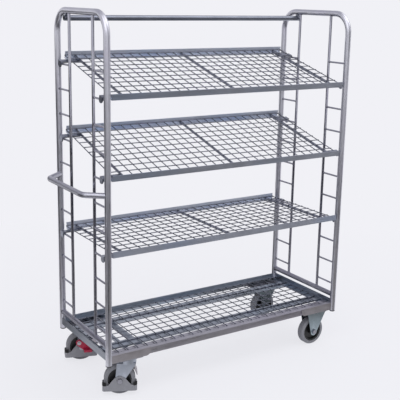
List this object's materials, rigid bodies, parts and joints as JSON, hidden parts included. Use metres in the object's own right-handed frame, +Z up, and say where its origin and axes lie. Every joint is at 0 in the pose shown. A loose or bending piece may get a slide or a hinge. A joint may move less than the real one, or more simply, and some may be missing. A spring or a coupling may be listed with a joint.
{
  "type": "shelf trolley",
  "caption": "Zinc-plated tube trolley with ladder ends, wire deck, hook-on wire shelves, push handle, fixed casters and braked swivel casters.",
  "frame": {"origin": "on the floor, under the middle of the outline", "axes": "+Z up, +X from the push handle to the far end, +Y to the back, away from the low edge of the tilted shelves"},
  "size_m": [1.2404, 0.4751, 1.4995],
  "materials": {
    "zinc_tube": "bright zinc, blue passivated",
    "zinc_sheet": "bright zinc on pressed sheet",
    "zinc_shelf": "bright zinc on cold-rolled section",
    "zinc_wire": "bright zinc on drawn wire",
    "fastener": "zinc-plated",
    "black_plug": "moulded",
    "grey_tyre": "non-marking grey rubber",
    "black_core": "moulded",
    "grey_guard": "moulded",
    "red_pedal": "moulded"
  },
  "bodies": {
    "frame": {"left_hoop": "zinc_tube", "right_hoop": "zinc_tube", "left_front_ladder": "zinc_wire", "left_back_ladder": "zinc_wire", "right_front_ladder": "zinc_wire", "right_back_ladder": "zinc_wire", "left_crossbar": "zinc_tube", "right_crossbar": "zinc_tube", "post_plugs": "black_plug", "push_handle": "zinc_tube", "tie_bar": "zinc_tube", "front_rail": "zinc_tube", "back_rail": "zinc_tube", "left_rail": "zinc_tube", "right_rail": "zinc_tube", "deck_bearers": "zinc_sheet", "deck_mesh": "zinc_wire", "front_left_bracket": "zinc_sheet", "back_left_bracket": "zinc_sheet", "front_right_bracket": "zinc_sheet", "back_right_bracket": "zinc_sheet", "caster_bolts": "fastener", "front_right_fork": "zinc_sheet", "back_right_fork": "zinc_sheet", "right_axles": "fastener", "front_left_top_plate": "zinc_sheet", "back_left_top_plate": "zinc_sheet", "king_pins": "fastener"},
    "front_left_swivel": {"front_left_fork": "zinc_sheet", "front_left_guard": "grey_guard", "front_left_axle": "fastener", "front_left_pedal_pin": "fastener"},
    "front_left_brake": {"front_left_brake_lever": "zinc_sheet", "front_left_pedal": "red_pedal"},
    "front_left_wheel": {"front_left_core": "black_core", "front_left_tyre": "grey_tyre"},
    "front_right_wheel": {"front_right_core": "black_core", "front_right_tyre": "grey_tyre"},
    "back_left_swivel": {"back_left_fork": "zinc_sheet", "back_left_guard": "grey_guard", "back_left_axle": "fastener", "back_left_pedal_pin": "fastener"},
    "back_left_brake": {"back_left_brake_lever": "zinc_sheet", "back_left_pedal": "red_pedal"},
    "back_left_wheel": {"back_left_core": "black_core", "back_left_tyre": "grey_tyre"},
    "back_right_wheel": {"back_right_core": "black_core", "back_right_tyre": "grey_tyre"},
    "top_shelf": {"top_shelf_mesh": "zinc_wire", "top_shelf_front_rail": "zinc_shelf", "top_shelf_back_rail": "zinc_shelf", "top_shelf_crossbars": "zinc_shelf"},
    "middle_shelf": {"middle_shelf_mesh": "zinc_wire", "middle_shelf_front_rail": "zinc_shelf", "middle_shelf_back_rail": "zinc_shelf", "middle_shelf_crossbars": "zinc_shelf"},
    "lower_shelf": {"lower_shelf_mesh": "zinc_wire", "lower_shelf_front_rail": "zinc_shelf", "lower_shelf_back_rail": "zinc_shelf", "lower_shelf_crossbars": "zinc_shelf"}
  },
  "joints": [
    {"name": "front_left_swivel_turn", "type": "hinge", "parent": "frame", "child": "front_left_swivel", "pos_m": [-0.43325, -0.184, 0.14], "axis": [0, 0, 1], "continuous": true},
    {"name": "front_left_wheel_spin", "type": "hinge", "parent": "front_left_swivel", "child": "front_left_wheel", "pos_m": [-0.46381, -0.1691, 0.0625], "axis": [0.4384, 0.8988, 0], "continuous": true},
    {"name": "front_left_pedal_tilt", "type": "hinge", "parent": "front_left_swivel", "child": "front_left_brake", "pos_m": [-0.4728, -0.16471, 0.092], "axis": [0.4384, 0.8988, 0], "range_deg": [0, 12]},
    {"name": "front_right_wheel_spin", "type": "hinge", "parent": "frame", "child": "front_right_wheel", "pos_m": [0.50975, -0.184, 0.0625], "axis": [0, 1, 0], "continuous": true},
    {"name": "back_left_swivel_turn", "type": "hinge", "parent": "frame", "child": "back_left_swivel", "pos_m": [-0.43325, 0.184, 0.14], "axis": [0, 0, 1], "continuous": true},
    {"name": "back_left_wheel_spin", "type": "hinge", "parent": "back_left_swivel", "child": "back_left_wheel", "pos_m": [-0.4652, 0.19563, 0.0625], "axis": [0.342, 0.9397, 0], "continuous": true},
    {"name": "back_left_pedal_tilt", "type": "hinge", "parent": "back_left_swivel", "child": "back_left_brake", "pos_m": [-0.4746, 0.19905, 0.092], "axis": [0.342, 0.9397, 0], "range_deg": [0, 12]},
    {"name": "back_right_wheel_spin", "type": "hinge", "parent": "frame", "child": "back_right_wheel", "pos_m": [0.50975, 0.184, 0.0625], "axis": [0, 1, 0], "continuous": true},
    {"name": "top_shelf_lift", "type": "slide", "parent": "frame", "child": "top_shelf", "axis": [0, 0, 1], "range_m": [0, 0.04]},
    {"name": "middle_shelf_lift", "type": "slide", "parent": "frame", "child": "middle_shelf", "axis": [0, 0, 1], "range_m": [0, 0.04]},
    {"name": "lower_shelf_lift", "type": "slide", "parent": "frame", "child": "lower_shelf", "axis": [0, 0, 1], "range_m": [0, 0.04]}
  ]
}
